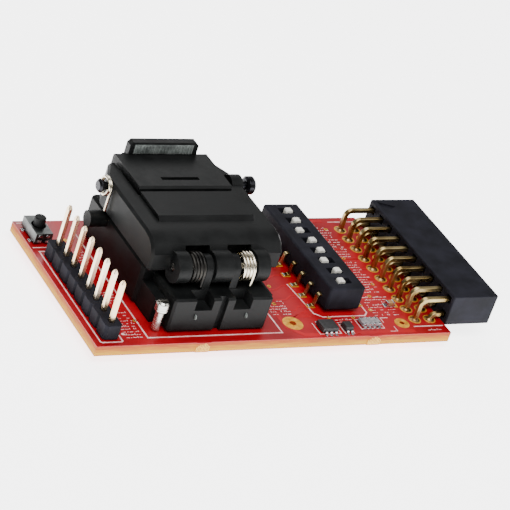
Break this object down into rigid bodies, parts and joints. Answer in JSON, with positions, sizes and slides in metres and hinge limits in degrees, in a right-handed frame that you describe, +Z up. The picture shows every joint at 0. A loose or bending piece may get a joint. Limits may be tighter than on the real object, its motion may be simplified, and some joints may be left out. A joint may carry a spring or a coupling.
{
  "type": "chip programming socket adapter board",
  "caption": "Red circuit board with a hinged clamshell chip socket, a pin header, a slide switch block, a push button and a right-angle connector on one end.",
  "frame": {"origin": "middle of the footprint's bounding box, level with the tips of the solder tails under the board", "axes": "+X along the board to the right-angle connector's mating face, +Y from the lid's hinge edge to its latch edge, +Z up out of the board"},
  "size_m": [0.0654, 0.0296, 0.0171],
  "materials": {
    "red_solder_mask": "glossy red solder mask over glass-epoxy laminate",
    "black_moulding": "black moulded plastic, satin",
    "socket_moulding": "black glass-filled socket plastic",
    "latch_moulding": "dark grey moulded latch",
    "button_cap": "black plunger",
    "white_slider": "white moulded sliders",
    "gold_contact": "gold-plated contact wire",
    "pale_gold_pin": "pale gold-plated pins",
    "spring_steel": "bright spring wire",
    "steel_pin": "turned steel",
    "nickel_cover": "nickel-plated sheet",
    "chip_epoxy": "moulded epoxy chip bodies",
    "chip_ceramic": "grey ceramic chips with tinned ends"
  },
  "bodies": {
    "board": {"circuit_board": "red_solder_mask", "header_housing": "black_moulding", "connector_housing": "black_moulding", "switch_body": "black_moulding", "button_body": "black_moulding", "contact_block": "black_moulding", "socket_base": "socket_moulding", "chip_guide": "socket_moulding", "connector_contact_01": "gold_contact", "connector_contact_02": "gold_contact", "connector_contact_03": "gold_contact", "connector_contact_04": "gold_contact", "connector_contact_05": "gold_contact", "connector_contact_06": "gold_contact", "connector_contact_07": "gold_contact", "connector_contact_08": "gold_contact", "connector_contact_09": "gold_contact", "connector_contact_10": "gold_contact", "connector_contact_11": "gold_contact", "connector_contact_12": "gold_contact", "connector_contact_13": "gold_contact", "connector_contact_14": "gold_contact", "connector_contact_15": "gold_contact", "connector_contact_16": "gold_contact", "connector_contact_17": "gold_contact", "connector_contact_18": "gold_contact", "connector_contact_19": "gold_contact", "connector_contact_20": "gold_contact", "header_pin_1": "pale_gold_pin", "header_pin_2": "pale_gold_pin", "header_pin_3": "pale_gold_pin", "header_pin_4": "pale_gold_pin", "header_pin_5": "pale_gold_pin", "header_pin_6": "pale_gold_pin", "header_pin_7": "pale_gold_pin", "header_pin_8": "pale_gold_pin", "lid_spring_right": "spring_steel", "lid_spring_left": "spring_steel", "lid_hinge_pin": "steel_pin", "socket_screw": "steel_pin", "button_frame": "nickel_cover", "logic_chip": "chip_epoxy", "transistor": "chip_epoxy", "resistor_array": "chip_ceramic", "capacitor": "chip_ceramic"},
    "lid": {"socket_lid": "socket_moulding", "latch_pin": "steel_pin"},
    "latch_arm": {"latch": "latch_moulding", "latch_spring": "spring_steel"},
    "pad": {"pressure_pad": "black_moulding"},
    "button": {"push_button": "button_cap"},
    "slider_1": {"switch_slider_1": "white_slider"},
    "slider_2": {"switch_slider_2": "white_slider"},
    "slider_3": {"switch_slider_3": "white_slider"},
    "slider_4": {"switch_slider_4": "white_slider"},
    "slider_5": {"switch_slider_5": "white_slider"},
    "slider_6": {"switch_slider_6": "white_slider"},
    "slider_7": {"switch_slider_7": "white_slider"},
    "slider_8": {"switch_slider_8": "white_slider"}
  },
  "joints": [
    {"name": "lid_hinge", "type": "hinge", "parent": "board", "child": "lid", "pos_m": [-0.01353, -0.00819, 0.0107], "axis": [1, 0, 0], "range_deg": [0, 100]},
    {"name": "latch_swing", "type": "hinge", "parent": "lid", "child": "latch_arm", "pos_m": [-0.01353, 0.00761, 0.0134], "axis": [1, 0, 0], "range_deg": [-4.5, 30], "stiffness_Nm_per_rad": 0.004},
    {"name": "pad_float", "type": "slide", "parent": "lid", "child": "pad", "axis": [0, 0, 1], "range_m": [0, 0.0004], "stiffness_N_per_m": 1500},
    {"name": "button_press", "type": "slide", "parent": "board", "child": "button", "axis": [0, 0, -1], "range_m": [0, 0.00025], "stiffness_N_per_m": 3000},
    {"name": "slider_1_slide", "type": "slide", "parent": "board", "child": "slider_1", "axis": [-1, 0, 0], "range_m": [0, 0.0008]},
    {"name": "slider_2_slide", "type": "slide", "parent": "board", "child": "slider_2", "axis": [-1, 0, 0], "range_m": [0, 0.0008]},
    {"name": "slider_3_slide", "type": "slide", "parent": "board", "child": "slider_3", "axis": [1, 0, 0], "range_m": [0, 0.0008]},
    {"name": "slider_4_slide", "type": "slide", "parent": "board", "child": "slider_4", "axis": [-1, 0, 0], "range_m": [0, 0.0008]},
    {"name": "slider_5_slide", "type": "slide", "parent": "board", "child": "slider_5", "axis": [-1, 0, 0], "range_m": [0, 0.0008]},
    {"name": "slider_6_slide", "type": "slide", "parent": "board", "child": "slider_6", "axis": [1, 0, 0], "range_m": [0, 0.0008]},
    {"name": "slider_7_slide", "type": "slide", "parent": "board", "child": "slider_7", "axis": [-1, 0, 0], "range_m": [0, 0.0008]},
    {"name": "slider_8_slide", "type": "slide", "parent": "board", "child": "slider_8", "axis": [1, 0, 0], "range_m": [0, 0.0008]}
  ]
}
